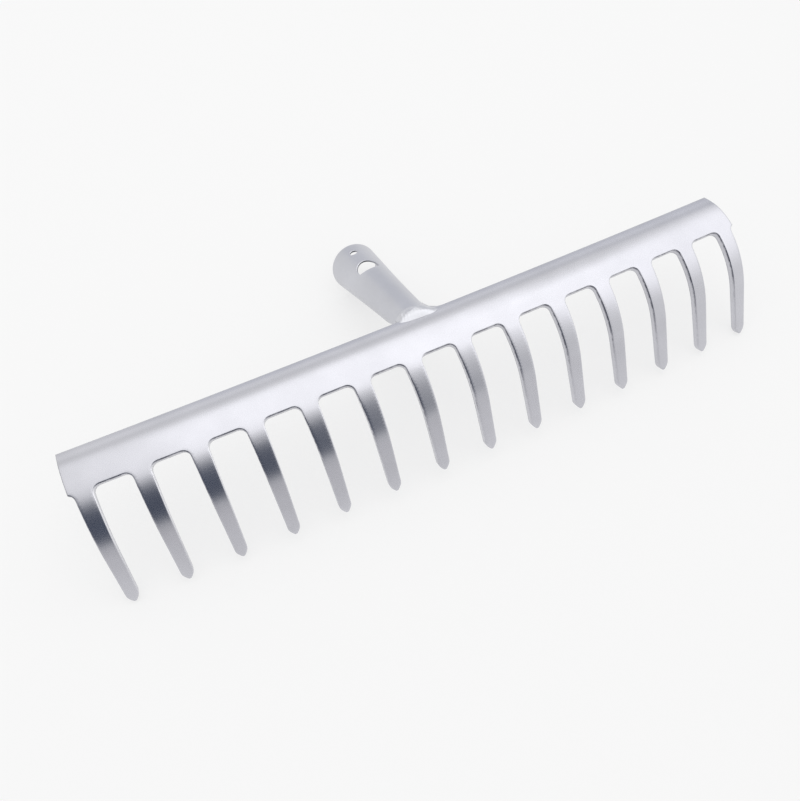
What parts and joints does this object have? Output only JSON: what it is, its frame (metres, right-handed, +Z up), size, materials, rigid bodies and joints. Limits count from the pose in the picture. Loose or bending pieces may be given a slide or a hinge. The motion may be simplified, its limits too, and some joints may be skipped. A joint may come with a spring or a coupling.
{
  "type": "garden rake head",
  "caption": "Garden rake head: a bowed sheet-steel comb with bent, pointed tines and a welded tapered tube socket for a handle.",
  "frame": {"origin": "middle of the underside of the bounding box, on the floor that the head lies on", "axes": "+X along the comb, +Y towards the socket's mouth, +Z up, with the head lying on its two end tines and the lower rim of the socket's mouth"},
  "size_m": [0.351, 0.142, 0.0567],
  "materials": {
    "comb": "bright zinc plating on cold-rolled sheet",
    "socket": "bright zinc plating on rolled tube",
    "weld": "zinc-plated weld bead"
  },
  "bodies": {
    "root": {"comb": "comb", "socket": "socket", "weld_top": "weld", "weld_under": "weld"}
  },
  "joints": []
}
